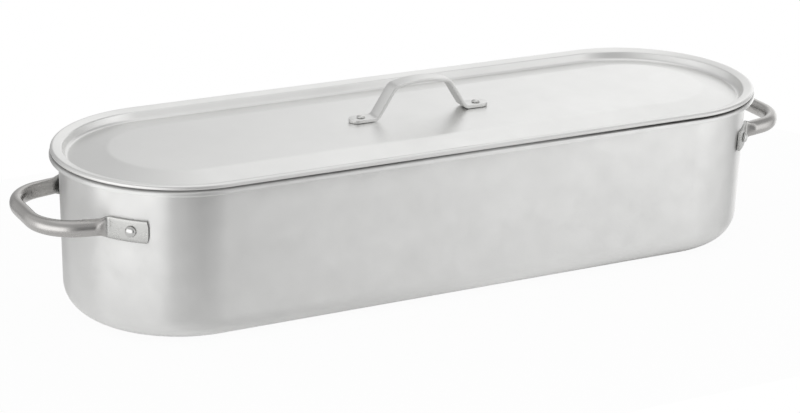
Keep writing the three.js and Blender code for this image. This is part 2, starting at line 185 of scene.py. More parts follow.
# Painted shade in the gap between the lid's hem and the pan's rim, on rougher metal: its colour
# and roughness, the band of the rim that it fades over, and the share of it that the hem's
# outer face has, which tones down the highlight there
SEAM_SHADE_COLOUR = (0.25, 0.245, 0.24)
SEAM_ROUGHNESS = 0.4
SEAM_MARGIN = 1
RIM_SEAM_INSET = 2
RIM_SEAM_FADE = 3
HEM_SEAM_MARGIN = 0.05
HEM_FACE_DEPTH = 0.3
HEM_FACE_SHARE = 0.22

# The pressed metal of the end handles: its tone, how far it reaches out past the plate, and
# the length over which it fades
PRESSED_COLOUR = (0.43, 0.43, 0.42)
PRESSED_REACH = 1.5
PRESSED_FADE = 3

# Floor: the share of white glow that the camera and reflections see of it, and the distances
# from the kettle's axis between which the glow in reflections comes in
FLOOR_RADIUS = 320
FLOOR_DROP = 0.2
FLOOR_COLOUR = (0.92, 0.92, 0.92)
FLOOR_GLOW_SEEN = 0.95
FLOOR_GLOW_MIRRORED = 0.54
FLOOR_GLOW_START = 80
FLOOR_GLOW_FULL = 94

# The studio round the kettle, as (degrees right of the front, brightness): a ring near the
# floor, a ring higher up, the top, and the degrees of height over which each gives way
STUDIO_LOW = [
    (-180, 0.47), (-168, 0.40), (-158, 0.42), (-146, 0.85), (-116, 1.02), (-98, 1.98),
    (-42, 2.05), (-27, 0.55), (0, 0.22), (16, 0.40), (28, 1.04), (38, 1.70), (52, 1.56),
    (70, 1.30), (85, 0.88), (99, 0.50), (108, 1.10), (118, 1.50), (130, 1.32), (145, 1.12),
    (160, 0.74), (180, 0.47),
]
STUDIO_HIGH = [
    (-180, 0.47), (-166, 0.55), (-150, 0.75), (-116, 0.75), (-90, 0.70), (-35, 0.65),
    (0, 0.55), (20, 0.75), (36, 1.15), (48, 0.95), (60, 0.52), (105, 0.52), (125, 0.90),
    (145, 1.12), (160, 0.74), (180, 0.47),
]
STUDIO_TOP = 1.00
LOW_TO_HIGH = (4, 22)
HIGH_TO_TOP = (56, 68)
# A ramp holds no brightness over 1, so it holds shares of this strength
STUDIO_STRENGTH = 2

# The photograph's own viewpoint, fitted to the kettle's outline: place, angles, lens
CAMERA_PLACE = (-870.18, -1591.73, 715.85)
CAMERA_YAW = 0.4932
CAMERA_PITCH = 0.3537
CAMERA_ROLL = -0.0283
CAMERA_LENS = 107.27
CAMERA_SENSOR = 36
CAMERA_RANGE = (0.05, 200)

# Places worked out from the sizes above
RIM_RADIUS = MOUTH_RADIUS + RIM_LIP_OVERHANG
WALL_TOP_RADIUS = MOUTH_RADIUS - RIM_FLARE_RADIUS + PAN_WALL
WALL_BASE_RADIUS = WALL_TOP_RADIUS - PAN_DRAFT
LID_RADIUS = RIM_RADIUS - LID_EDGE_INSET
LID_SEAT = PAN_HEIGHT + SEAT_GAP
LID_PANEL_TOP = PAN_HEIGHT + LID_PANEL_HEIGHT
GRIP_CENTRE_HEIGHT = PAN_HEIGHT - GRIP_DROP
RACK_PLATE_TOP = PAN_WALL + SEAT_GAP + RACK_FOOT_HEIGHT + SEAT_GAP + RACK_SHEET
RACK_PLATE_RADIUS = WALL_TOP_RADIUS - PAN_WALL - RACK_SIDE_GAP
RACK_HANDLE_X = HALF_RUN + RACK_HANDLE_INSET
RACK_TAB_MIDDLE = RACK_HANDLE_WIDTH / 2 + RACK_TAB_LENGTH / 2


def wall_radius_at(height):
    return WALL_BASE_RADIUS + PAN_DRAFT * height / PAN_HEIGHT


PLATE_TOP = GRIP_CENTRE_HEIGHT + PLATE_HEIGHT / 2
PLATE_INNER = wall_radius_at(PLATE_TOP) + SEAT_GAP
PLATE_MIDDLE = PLATE_INNER + PLATE_THICKNESS / 2
GRIP_RIVET_SEAT = PLATE_INNER + PLATE_THICKNESS + SEAT_GAP
GRIP_WALL_INNER = wall_radius_at(GRIP_CENTRE_HEIGHT - GRIP_RIVET["tail"] / 2) - PAN_WALL
GRIP_RIVET_GRIP = GRIP_RIVET_SEAT - GRIP_WALL_INNER + SEAT_GAP
LID_RIVET_GRIP = STRAP_THICKNESS + LID_SHEET + 3 * SEAT_GAP
RACK_RIVET_GRIP = 2 * RACK_STRAP_THICKNESS + RACK_SHEET + 4 * SEAT_GAP


def beyond_axis(spot):
    """The plan distance from the line that joins the middles of the kettle's two ends."""
    return math.hypot(max(abs(spot.x) - HALF_RUN, 0), spot.y)


# Lines in a plane

def path_length(path):
    return sum((after - before).length for before, after in zip(path, path[1:]))


def rounded_path(corners, arc_step=ARC_STEP):
    """A polyline of (x, y) or (x, y, corner radius) entries with its corners rounded."""
    path = []
    for index, corner in enumerate(corners):
        spot = Vector(corner[:2])
        if len(corner) < 3:
            path.append(spot)
            continue
        back = Vector(corners[index - 1][:2]) - spot
        ahead = Vector(corners[index + 1][:2]) - spot
        room = min(back.length, ahead.length) * CORNER_ROOM
        back.normalize()
        ahead.normalize()
        turn = math.pi - math.acos(max(-1, min(1, back.dot(ahead))))
        tangent = min(corner[2] * math.tan(turn / 2), room)
        bend = tangent / math.tan(turn / 2)
        centre = spot + (back + ahead).normalized() * (bend / math.cos(turn / 2))
        arm = spot + back * tangent - centre
        side = 1 if back.x * ahead.y - back.y * ahead.x >= 0 else -1
        steps = max(2, math.ceil(turn / arc_step))
        for step in range(steps + 1):
            angle = -side * turn * step / steps
            path.append(centre + Vector((
                arm.x * math.cos(angle) - arm.y * math.sin(angle),
                arm.x * math.sin(angle) + arm.y * math.cos(angle),
            )))
    return path


def offset_line(path, distance):
    """The line beside an open path, to its left where the distance is positive."""
    line = []
    for index, spot in enumerate(path):
        before = path[max(index - 1, 0)]
        after = path[min(index + 1, len(path) - 1)]
        first = spot - before if index > 0 else after - spot
        second = after - spot if index < len(path) - 1 else spot - before
        first.normalize()
        second.normalize()
        along = (first + second).normalized()
        reach = distance / max(along.dot(second), MITRE_LIMIT)
        line.append(Vector((spot.x - along.y * reach, spot.y + along.x * reach)))
    return line


def refined(path, places):
    """The path with extra points at the given lengths from its start, and all lengths."""
    lengths = [0]
    for before, after in zip(path, path[1:]):
        lengths.append(lengths[-1] + (after - before).length)
    stops = sorted(set(lengths) | {place for place in places if 0 < place < lengths[-1]})
    line = []
    kept = []
    segment = 0
    for stop in stops:
        if kept and stop - kept[-1] < SAME_PLACE:
            continue
        while segment < len(path) - 2 and lengths[segment + 1] < stop:
            segment += 1
        span = lengths[segment + 1] - lengths[segment]
        share = min(max((stop - lengths[segment]) / span, 0), 1)
        line.append(path[segment].lerp(path[segment + 1], share))
        kept.append(stop)
    return line, kept


def direction_at(path, index):
    before = path[max(index - 1, 0)]
    after = path[min(index + 1, len(path) - 1)]
    return (after - before).normalized()


def mirrored(half):
    """The same (x, y, corner radius) entries in reverse order, on the other side of x = 0."""
    return [(-entry[0], *entry[1:]) for entry in reversed(half)]


# Meshes: each shape is a list of corners and a list of faces

def skin(rings):
    """Quads through rings of the same number of points, closed round each ring."""
    count = len(rings[0])
    faces = []
    for ring in range(len(rings) - 1):
        low, high = ring * count, (ring + 1) * count
        for side in range(count):
            across = (side + 1) % count
            faces.append((low + side, high + side, high + across, low + across))
    return faces


def capped(rings):
    """A skin through rings with a flat face at each end."""
    faces = skin(rings)
    count = len(rings[0])
    last = (len(rings) - 1) * count
    faces.append(tuple(range(count)))
    faces.append(tuple(last + side for side in reversed(range(count))))
    return [spot for ring in rings for spot in ring], faces


def plan_ring(radius, height):
    """The kettle's long rounded plan, at a radius round the middles of its ends."""
    ring = []
    for end, middle in ((0, HALF_RUN), (1, -HALF_RUN)):
        for step in range(END_STEPS + 1):
            angle = math.pi * (end - 0.5 + step / END_STEPS)
            ring.append((middle + radius * math.cos(angle), radius * math.sin(angle), height))
    return ring


def long_round(profile, closed_profile=False):
    """A profile of (radius, height) points swept round the kettle's long rounded plan. An
    open profile starts and ends on flat sheet, whose middle is filled across the kettle."""
    rings = [plan_ring(radius, height) for radius, height in profile]
    verts = [spot for ring in rings for spot in ring]
    if closed_profile:
        faces = skin(rings + rings[:1])
        return verts, [tuple(corner % len(verts) for corner in face) for face in faces]
    faces = skin(rings)
    count = len(rings[0])
    last = len(verts) - count
    for side in range(count // 2 - 1):
        across = count - 1 - side
        faces.append((side, side + 1, across - 1, across))
        faces.append((last + side, last + across, last + across - 1, last + side + 1))
    return verts, faces


def strap(path, thickness, width, edge, round_ends=False):
    """A flat strap along a path in the XZ plane, its width along Y and its edges softened."""
    reach = width / 2
    total = path_length(path)
    turns = [math.pi / 2 * step / STRAP_END_STEPS for step in range(1, STRAP_END_STEPS + 1)]
    near = [reach * (1 - math.cos(turn)) for turn in turns]
    places = near + [total - place for place in near] if round_ends else []
    line, lengths = refined(path, places)
    rings = []
    for index, spot in enumerate(line):
        along = direction_at(line, index)
        beside = Vector((-along.y, along.x))
        half = reach
        if round_ends:
            inset = reach - min(lengths[index], total - lengths[index], reach)
            half = max(math.sqrt(max(reach ** 2 - inset ** 2, 0)), STRAP_TIP_HALF)
        soft = min(edge, half * STRAP_EDGE_SHARE)
        ring = []
        for corner in range(4):
            across = half - soft if corner in (0, 3) else soft - half
            up = thickness / 2 - soft if corner in (0, 1) else soft - thickness / 2
            for step in range(STRAP_EDGE_STEPS + 1):
                angle = math.pi / 2 * (corner + step / STRAP_EDGE_STEPS)
                flat = across + soft * math.cos(angle)
                rise = up + soft * math.sin(angle)
                ring.append((spot.x + beside.x * rise, flat, spot.y + beside.y * rise))
        rings.append(ring)
    return capped(rings)


def lathe(profile):
    """A profile of (radius, height) points turned round the Z axis, from axis to axis."""
    inner = profile[1:-1]
    verts = [(0, 0, profile[0][1])]
    for radius, height in inner:
        for step in range(ROUND_STEPS):
            angle = 2 * math.pi * step / ROUND_STEPS
            verts.append((radius * math.cos(angle), radius * math.sin(angle), height))
    verts.append((0, 0, profile[-1][1]))
    last = len(verts) - 1
    faces = []
    for step in range(ROUND_STEPS):
        across = (step + 1) % ROUND_STEPS
        faces.append((0, 1 + across, 1 + step))
        for ring in range(len(inner) - 1):
            low, high = 1 + ring * ROUND_STEPS, 1 + (ring + 1) * ROUND_STEPS
            faces.append((low + step, low + across, high + across, high + step))
        top = 1 + (len(inner) - 1) * ROUND_STEPS
        faces.append((top + step, top + across, last))
    return verts, faces


def rivet(grip, sizes):
    """A set rivet on the Z axis: z = 0 is the face under its domed head, and the grip is the
    length of shank between head and tail."""
    shank, head = sizes["shank"] / 2, sizes["head"] / 2
    profile = [(sizes["tail"] * across, -grip - sizes["tail_height"] * up)
               for across, up in RIVET_TAIL]
    profile += [(shank, -grip), (shank, 0), (head - RIVET_HEAD_UNDERCUT, 0)]
    for step in range(DOME_STEPS):
        angle = math.pi / 2 * step / DOME_STEPS
        rise = (sizes["head_height"] - RIVET_HEAD_RIM) * math.sin(angle)
        profile.append((head * math.cos(angle) ** RIVET_DOME_FULLNESS, RIVET_HEAD_RIM + rise))
    profile.append((0, sizes["head_height"]))
    return lathe(profile)


def placed(shape, matrix):
    verts, faces = shape
    return [matrix @ Vector(spot) for spot in verts], faces


def across_pan(shape):
    """Turns a shape drawn in the XZ plane so that it lies across the kettle."""
    return placed(shape, Matrix.Rotation(math.pi / 2, 4, "Z"))


# Materials: small tools for node trees

MIX_SHARE, MIX_FIRST, MIX_SECOND, MIX_RESULT = 0, 6, 7, 2


def node_of(tree, kind, **settings):
    made = tree.nodes.new(kind)
    for name, value in settings.items():
        setattr(made, name, value)
    return made


def feed(tree, socket, value):
    """Links a socket to another one, or sets it to a constant."""
    if isinstance(value, bpy.types.NodeSocket):
        tree.links.new(value, socket)
    else:
        socket.default_value = value


def math_of(tree, operation, first, second=None):
    made = node_of(tree, "ShaderNodeMath", operation=operation)
    feed(tree, made.inputs[0], first)
    if second is not None:
        feed(tree, made.inputs[1], second)
    return made.outputs[0]


def mix_of(tree, share, first, second):
    """A blend of two colours, from the first at share 0 to the second at share 1."""
    mix = node_of(tree, "ShaderNodeMix", data_type="RGBA")
    feed(tree, mix.inputs[MIX_SHARE], share)
    feed(tree, mix.inputs[MIX_FIRST], first)
    feed(tree, mix.inputs[MIX_SECOND], second)
    return mix.outputs[MIX_RESULT]


def noise_of(tree, cells, detail=3, roughness=0.5):
    """Noise through the object, with its own number of cells per metre along each axis."""
    place = tree.nodes.get("Place") or node_of(tree, "ShaderNodeTexCoord", name="Place")
    scaled = node_of(tree, "ShaderNodeMapping")
    scaled.inputs["Scale"].default_value = cells
    tree.links.new(place.outputs["Object"], scaled.inputs["Vector"])
    noise = node_of(tree, "ShaderNodeTexNoise")
    noise.inputs["Scale"].default_value = 1
    noise.inputs["Detail"].default_value = detail
    noise.inputs["Roughness"].default_value = roughness
    tree.links.new(scaled.outputs[0], noise.inputs["Vector"])
    return noise.outputs["Fac"]


def spread(tree, value, low, high, from_low=0.3, from_high=0.7):
    """Maps a value to a range. The default source range is where most of a noise lies."""
    ramp = node_of(tree, "ShaderNodeMapRange", clamp=True)
    ramp.inputs["From Min"].default_value = from_low
    ramp.inputs["From Max"].default_value = from_high
    ramp.inputs["To Min"].default_value = low
    ramp.inputs["To Max"].default_value = high
    tree.links.new(value, ramp.inputs["Value"])
    return ramp.outputs[0]


def share_of(tree, name):
    """The share that marked() gave each vertex under this name, or 0 where it gave none."""
    return node_of(tree, "ShaderNodeAttribute", attribute_name=name).outputs["Fac"]


def bump_of(tree, height, depth, under=None):
    """A bump of the given depth in millimetres, over another one if there is one."""
    bump = node_of(tree, "ShaderNodeBump")
    bump.inputs["Strength"].default_value = 1
    bump.inputs["Distance"].default_value = depth * MM
    tree.links.new(height, bump.inputs["Height"])
    if under is not None:
        tree.links.new(under, bump.inputs["Normal"])
    return bump.outputs[0]


# Materials

def metal(name, light, dark, roughness, anisotropy=0.0):
    """A metal whose colour drifts between two tones and whose roughness lies in a range, and
    which takes painted shade, darker and rougher, where it is marked as seam shade. Returns the
    material, its tree and its shader."""
    made = bpy.data.materials.new(name)
    made.use_nodes = True
    tree = made.node_tree
    shader = tree.nodes["Principled BSDF"]
    shader.inputs["Metallic"].default_value = 1
    shader.inputs["Anisotropic"].default_value = anisotropy
    drift = spread(tree, noise_of(tree, (14, 14, 14), detail=4), 0, 1)
    tone = mix_of(tree, drift, (*dark, 1), (*light, 1))
    # Painted shade in the gap between lid and rim: the marked share darkens the colour towards
    # the seam colour and raises the roughness.
    seam_shade = share_of(tree, "seam_shade")
    seam_shaded = mix_of(tree, seam_shade, tone, (*SEAM_SHADE_COLOUR, 1))
    tree.links.new(seam_shaded, shader.inputs["Base Color"])
    stain = noise_of(tree, (60, 60, 60), detail=5, roughness=0.6)
    rougher = math_of(tree, "MULTIPLY", seam_shade, SEAM_ROUGHNESS)
    rough = math_of(tree, "ADD", spread(tree, stain, *roughness), rougher)
    tree.links.new(rough, shader.inputs["Roughness"])
    return made, tree, shader


def grained(made, tree, shader, grain, depth, under=None):
    """Gives a metal its fine grain, as a bump of a depth in millimetres."""
    tree.links.new(bump_of(tree, grain, depth, under), shader.inputs["Normal"])
    return made


def brushed_wall():
    """Satin aluminium brushed round the pan, so its reflections are drawn out upright."""
    made, tree, shader = metal("pan_aluminium", light=(0.89, 0.89, 0.88),
                               dark=(0.86, 0.86, 0.85), roughness=(0.42, 0.47), anisotropy=1.0)
    shader.inputs["Anisotropic Rotation"].default_value = 0.25
    round_pan = node_of(tree, "ShaderNodeTangent", direction_type="RADIAL", axis="Z")
    tree.links.new(round_pan.outputs[0], shader.inputs["Tangent"])
    swell = bump_of(tree, noise_of(tree, (11, 11, 2), detail=1), 0.1)
    lines = noise_of(tree, (7, 7, 1500), detail=4, roughness=0.6)
    return grained(made, tree, shader, lines, 0.012, swell)


def satin_lid():
    """Satin aluminium sheet, not quite flat."""
    made, tree, shader = metal("lid_aluminium", light=(0.82, 0.82, 0.81),
                               dark=(0.79, 0.79, 0.78), roughness=(0.32, 0.38))
    swell = bump_of(tree, noise_of(tree, (9, 9, 9), detail=2), 0.25)
    grain = noise_of(tree, (1400, 1400, 1400), detail=2)
    return grained(made, tree, shader, grain, 0.01, swell)


def strap_aluminium():
    made, tree, shader = metal("strap_aluminium", light=(0.78, 0.78, 0.77),
                               dark=(0.74, 0.74, 0.73), roughness=(0.36, 0.44))
    return grained(made, tree, shader, noise_of(tree, (900, 900, 900)), 0.01)


def bright_rivet():
    made, tree, shader = metal("rivet_aluminium", light=(0.66, 0.66, 0.65),
                               dark=(0.56, 0.56, 0.55), roughness=(0.18, 0.28))
    return grained(made, tree, shader, noise_of(tree, (700, 700, 700), detail=4), 0.03)


def rack_sheet():
    """Sheet with the drawn-out grain of its rolling."""
    made, tree, shader = metal("rack_aluminium", light=(0.79, 0.79, 0.78),
                               dark=(0.74, 0.74, 0.73), roughness=(0.36, 0.46))
    return grained(made, tree, shader, noise_of(tree, (60, 1200, 60)), 0.01)


def tube_steel():
    """Half bright steel tube, with a coarse grain and a tone of its own where it is pressed."""
    made, tree, shader = metal("handle_steel", light=(0.52, 0.51, 0.495),
                               dark=(0.44, 0.43, 0.42), roughness=(0.24, 0.32))
    pressed = share_of(tree, "pressed")
    smooth = shader.inputs["Base Color"].links[0].from_socket
    tone = mix_of(tree, pressed, smooth, (*PRESSED_COLOUR, 1))
    tree.links.new(tone, shader.inputs["Base Color"])
    grain = noise_of(tree, (900, 900, 900), detail=5, roughness=0.7)
    return grained(made, tree, shader, math_of(tree, "MULTIPLY", grain, pressed), 0.1)


METALS = {
    "pan_aluminium": brushed_wall(),
    "lid_aluminium": satin_lid(),
    "strap_aluminium": strap_aluminium(),
    "rivet_aluminium": bright_rivet(),
    "rack_aluminium": rack_sheet(),
    "handle_steel": tube_steel(),
}


# Pieces

def piece(name, shape, node, body, slot, sharp=SHARP_ANGLE):
    """A smooth mesh piece that stands for a CAD node and rides on its body."""
    verts, faces = shape
    mesh = bpy.data.meshes.new(name)
    mesh.from_pydata([Vector(spot) * MM for spot in verts], [], faces)
    work = bmesh.new()
    work.from_mesh(mesh)
    bmesh.ops.remove_doubles(work, verts=work.verts, dist=WELD_DISTANCE * MM)
    bmesh.ops.recalc_face_normals(work, faces=work.faces)
    work.to_mesh(mesh)
    work.free()
    mesh.shade_smooth()
    mesh.set_sharp_from_angle(angle=sharp)
    mesh.materials.append(METALS[slot])
    made = bpy.data.objects.new(name, mesh)
    bpy.context.scene.collection.objects.link(made)
    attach(made, body)
    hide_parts(node)
    return made


def marked(made, name, share_at):
    """Gives each vertex a share from 0 to 1, worked out from its place in millimetres."""
    marks = made.data.attributes.new(name, "FLOAT", "POINT")
    for vertex, mark in zip(made.data.vertices, marks.data):
        mark.value = min(max(share_at(vertex.co / MM), 0), 1)


# Pan

def pan_shape():
    start = (WALL_BASE_RADIUS - PAN_CORNER_RADIUS) / 2
    return long_round(rounded_path([
        (start, PAN_WALL),
        (WALL_BASE_RADIUS - PAN_WALL, PAN_WALL, PAN_CORNER_RADIUS - PAN_WALL),
        (WALL_TOP_RADIUS - PAN_WALL, PAN_HEIGHT, RIM_FLARE_RADIUS),
        (MOUTH_RADIUS + RIM_SEAT_WIDTH, PAN_HEIGHT, RIM_LIP_RADIUS),
        (RIM_RADIUS, PAN_HEIGHT - RIM_LIP_FALL, RIM_LIP_RADIUS),
        (RIM_RADIUS, PAN_HEIGHT - RIM_LIP_HEIGHT, RIM_LIP_RADIUS),
        (WALL_TOP_RADIUS, PAN_HEIGHT - RIM_LIP_HEIGHT, RIM_COVE_RADIUS),
        (WALL_BASE_RADIUS, 0, PAN_CORNER_RADIUS),
        (start, 0),
    ]))


def in_rim_seam_shade(spot):
    """The rim gets painted shade under the lid's hem, fading out before its outer edge."""
    if spot.z < PAN_HEIGHT - RIM_LIP_FALL or beyond_axis(spot) < MOUTH_RADIUS - SEAM_MARGIN:
        return 0
    return (RIM_RADIUS - RIM_SEAM_INSET - beyond_axis(spot)) / RIM_SEAM_FADE


def build_pan():
    pan = piece("pan", pan_shape(), "kettle_body", "kettle", "pan_aluminium")
    # Paints shade on the rim where the lid's hem overhangs it.
    marked(pan, "seam_shade", in_rim_seam_shade)


# End handles

def grip_path():
    """The middle line of the right handle, round the middle of the kettle's end."""
    reach = wall_radius_at(GRIP_CENTRE_HEIGHT) + GRIP_FINGER_GAP + TUBE_THICKNESS / 2
    half = []
    for step in range(PLATE_STEPS):
        share = step / PLATE_STEPS
        angle = GRIP_PLATE_END_ANGLE + (GRIP_NECK_ANGLE - GRIP_PLATE_END_ANGLE) * share
        half.append((PLATE_MIDDLE * math.cos(angle), -PLATE_MIDDLE * math.sin(angle)))
    neck = (PLATE_MIDDLE * math.cos(GRIP_NECK_ANGLE), -PLATE_MIDDLE * math.sin(GRIP_NECK_ANGLE))
    half.append((*neck, GRIP_NECK_RADIUS))
    half.append((reach, -GRIP_CORNER_SPACING / 2, GRIP_CORNER_RADIUS))
    other_half = [(entry[0], -entry[1], *entry[2:]) for entry in reversed(half)]
    path = rounded_path([*half, *other_half], HANDLE_ARC_STEP)
    total = path_length(path)
    places = [TUBE_FIRST_RING, total - TUBE_FIRST_RING]
    places += [TUBE_RING_SPACING * step for step in range(1, math.ceil(total))]
    line, _ = refined(path, places)
    return line


def grip_section(distance):
    """The section as (outward, up) points, at a distance out from the pressed plate."""
    share = min(distance / GRIP_SWELL_LENGTH, 1)
    fullness = share * share * (3 - 2 * share)
    thickness = PLATE_THICKNESS + (TUBE_THICKNESS - PLATE_THICKNESS) * fullness
    narrowing = min(distance / GRIP_FLARE_LENGTH, 1)
    height = PLATE_HEIGHT + (TUBE_HEIGHT - PLATE_HEIGHT) * narrowing
    roundness = PLATE_ROUNDNESS + (TUBE_ROUNDNESS - PLATE_ROUNDNESS) * math.sqrt(fullness)
    section = []
    for side in range(TUBE_SIDES):
        angle = 2 * math.pi * (side + 0.5) / TUBE_SIDES
        across, up = math.cos(angle), math.sin(angle)
        section.append((
            math.copysign(abs(across) ** roundness, across) * thickness / 2,
            math.copysign(abs(up) ** roundness, up) * height / 2,
        ))
    return section


def grip_shape():
    path = grip_path()
    bulges = {0: -GRIP_END_BULGE, len(path) - 1: GRIP_END_BULGE}
    rings = []
    for index, spot in enumerate(path):
        along = direction_at(path, index)
        outward = Vector((along.y, -along.x))
        ring = []
        for across, up in grip_section(max(spot.length - PLATE_MIDDLE, 0)):
            bulge = bulges.get(index, 0) * (1 - (up / (PLATE_HEIGHT / 2)) ** 2)
            place = spot + outward * across + along * bulge
            ring.append((place.x, place.y, up))
        rings.append(ring)
    return capped(rings)


def in_plate(spot):
    """A handle is pressed at its plates and for a little way out from the pan's wall."""
    return 1 - (beyond_axis(spot) - PLATE_MIDDLE - PRESSED_REACH) / PRESSED_FADE


def build_end_handles():
    for end, turn in (("right", 0), ("left", math.pi)):
        turned = Matrix.Rotation(turn, 4, "Z")
        move = turned @ Matrix.Translation((HALF_RUN, 0, GRIP_CENTRE_HEIGHT))
        grip = piece(f"grip_{end}", placed(grip_shape(), move), f"end_handle_{end}", "kettle",
                     "handle_steel", sharp=GRIP_SHARP_ANGLE)
        marked(grip, "pressed", in_plate)
        for letter, side in (("a", -1), ("b", 1)):
            angle = side * GRIP_RIVET_ANGLE
            seat = Matrix.Translation((
                HALF_RUN + GRIP_RIVET_SEAT * math.cos(angle),
                GRIP_RIVET_SEAT * math.sin(angle),
                GRIP_CENTRE_HEIGHT,
            ))
            aim = Matrix.Rotation(angle, 4, "Z") @ Matrix.Rotation(math.pi / 2, 4, "Y")
            piece(f"grip_rivet_{end}_{letter}",
                  placed(rivet(GRIP_RIVET_GRIP, GRIP_RIVET), turned @ seat @ aim),
                  f"end_handle_rivet_{end}_{letter}", "kettle", "rivet_aluminium")


# Lid

def lid_shape():
    crest_radius = LID_RADIUS - LID_FLANGE_WIDTH
    step_foot = crest_radius - LID_STEP_RUN
    panel_radius = step_foot - LID_BORDER_WIDTH
    flange_slope = (LID_EDGE_HEIGHT - LID_FLANGE_HEIGHT) / LID_FLANGE_WIDTH
    hem_radius = LID_RADIUS - LID_HEM_WIDTH
    hem_top = PAN_HEIGHT + LID_EDGE_HEIGHT - LID_HEM_WIDTH * flange_slope
    sheet = rounded_path([
        (panel_radius / 2, LID_PANEL_TOP),
        (panel_radius, LID_PANEL_TOP, LID_BORDER_RADIUS),
        (step_foot, PAN_HEIGHT - LID_VALLEY_DEPTH, LID_STEP_RADIUS),
        (crest_radius, PAN_HEIGHT + LID_FLANGE_HEIGHT, LID_CREST_RADIUS),
        (hem_radius, hem_top),
    ], LID_ARC_STEP)
    edge = rounded_path([
        (hem_radius, hem_top),
        (LID_RADIUS, PAN_HEIGHT + LID_EDGE_HEIGHT, LID_EDGE_RADIUS),
        (LID_RADIUS - LID_HEM_LEAN, LID_SEAT + LID_HEM_RISE, LID_HEM_EDGE),
        (hem_radius, LID_SEAT, LID_HEM_EDGE),
        (hem_radius, LID_SEAT + LID_HEM_RISE),
    ], HEM_ARC_STEP)
    return long_round(sheet + edge[1:-1] + offset_line(sheet, -LID_SHEET)[::-1])


def in_hem_seam_shade(spot):
    """Painted shade under the hem, and a small share of it on the hem's outer face to tone
    down its highlight.
    """
    if beyond_axis(spot) < LID_RADIUS - LID_HEM_WIDTH - SEAM_MARGIN:
        return 0
    if spot.z < LID_SEAT + LID_HEM_RISE - HEM_SEAM_MARGIN:
        return 1
    on_outer_face = beyond_axis(spot) > LID_RADIUS - LID_HEM_LEAN - HEM_FACE_DEPTH
    return HEM_FACE_SHARE if on_outer_face else 0


def lid_handle_shape():
    foot = LID_PANEL_TOP + SEAT_GAP + STRAP_THICKNESS / 2
    bend_top = foot + STRAP_RISE
    half = [
        (-STRAP_LENGTH / 2, foot),
        (-STRAP_KNEE_SPACING / 2, foot, STRAP_KNEE_RADIUS),
        (-STRAP_TOP_SPACING / 2, bend_top, STRAP_TOP_RADIUS),
    ]
    crown_radius = STRAP_TOP_SPACING ** 2 / (8 * STRAP_CROWN)
    crown = (0, bend_top + 2 * STRAP_CROWN, crown_radius * STRAP_CROWN_SHARE)
    path = rounded_path([*half, crown, *mirrored(half)], HANDLE_ARC_STEP)
    return strap(path, STRAP_THICKNESS, STRAP_WIDTH, STRAP_EDGE, round_ends=True)


def build_lid():
    lid = piece("lid_sheet", lid_shape(), "lid", "lid", "lid_aluminium")
    # Paints shade under the hem and a little on its outer face.
    marked(lid, "seam_shade", in_hem_seam_shade)
    piece("lid_strap", lid_handle_shape(), "lid_handle", "lid", "strap_aluminium")
    rivet_seat = LID_PANEL_TOP + STRAP_THICKNESS + 2 * SEAT_GAP
    for end, side in (("left", -1), ("right", 1)):
        seat = Matrix.Translation((side * LID_RIVET_SPACING / 2, 0, rivet_seat))
        piece(f"lid_strap_rivet_{end}", placed(rivet(LID_RIVET_GRIP, SMALL_RIVET), seat),
              f"lid_rivet_{end}", "lid", "rivet_aluminium")


# Rack

def rack_hole_spots():
    """Staggered rows of holes, left out near the hem and under the feet and handles."""
    inside = RACK_PLATE_RADIUS - RACK_HEM_RADIUS - RACK_HOLE_MARGIN - RACK_HOLE_DIAMETER / 2
    tab_half = RACK_TAB_LENGTH / 2 + RACK_HOLE_MARGIN + RACK_HOLE_DIAMETER / 2
    side_half = RACK_STRAP_WIDTH / 2 + RACK_HOLE_MARGIN + RACK_HOLE_DIAMETER / 2
    columns = int((HALF_RUN + RACK_PLATE_RADIUS) // RACK_HOLE_PITCH_X)
    rows = int(RACK_PLATE_RADIUS // RACK_HOLE_PITCH_Y) * 2
    spots = []
    for column in range(-columns, columns + 1):
        for row in range(-rows, rows + 1):
            spot = Vector((column * RACK_HOLE_PITCH_X, row * RACK_HOLE_PITCH_Y / 2))
            under_tab = (abs(abs(spot.x) - RACK_HANDLE_X) < side_half
                         and abs(abs(spot.y) - RACK_TAB_MIDDLE) < tab_half)
            if (column + row) % 2 == 0 and beyond_axis(spot) < inside and not under_tab:
                spots.append(spot)
    return spots


def hole_outline(spot):
    turns = [2 * math.pi * step / HOLE_STEPS for step in range(HOLE_STEPS)]
    radius = RACK_HOLE_DIAMETER / 2
    return [(spot.x + radius * math.cos(turn), spot.y + radius * math.sin(turn))
            for turn in turns]


def perforated_plate(edge_radius):
    """The rack's flat middle, with round holes."""
    loops = [[(x, y) for x, y, _ in plan_ring(edge_radius, 0)]]
    loops += [hole_outline(spot) for spot in rack_hole_spots()]
    work = bmesh.new()
    edges = []
    for loop in loops:
        made = [work.verts.new((x, y, RACK_PLATE_TOP)) for x, y in loop]
        edges += [work.edges.new(ends) for ends in zip(made, made[1:] + made[:1])]
    bmesh.ops.triangle_fill(work, use_beauty=True, edges=edges)
    flat = bmesh.ops.extrude_face_region(work, geom=work.faces[:])
    lowered = [item for item in flat["geom"] if isinstance(item, bmesh.types.BMVert)]
    bmesh.ops.translate(work, verts=lowered, vec=(0, 0, -RACK_SHEET))
    work.verts.index_update()
    verts = [tuple(vertex.co) for vertex in work.verts]
    faces = [tuple(vertex.index for vertex in face.verts) for face in work.faces]
    work.free()
    return verts, faces


def rack_plate_shape():
    """The perforated middle and the turned-down hem that rings it."""
    edge_radius = RACK_PLATE_RADIUS - RACK_HEM_RADIUS
    verts, faces = perforated_plate(edge_radius)
    outer = rounded_path([
        (edge_radius, RACK_PLATE_TOP),
        (RACK_PLATE_RADIUS, RACK_PLATE_TOP, RACK_HEM_RADIUS),
        (RACK_PLATE_RADIUS, RACK_PLATE_TOP - RACK_HEM_HEIGHT),
    ])
    inner = offset_line(outer, -RACK_SHEET)[::-1]
    hem_verts, hem_faces = long_round(outer + inner, closed_profile=True)
    first = len(verts)
    faces += [tuple(first + corner for corner in face) for face in hem_faces]
    return verts + hem_verts, faces


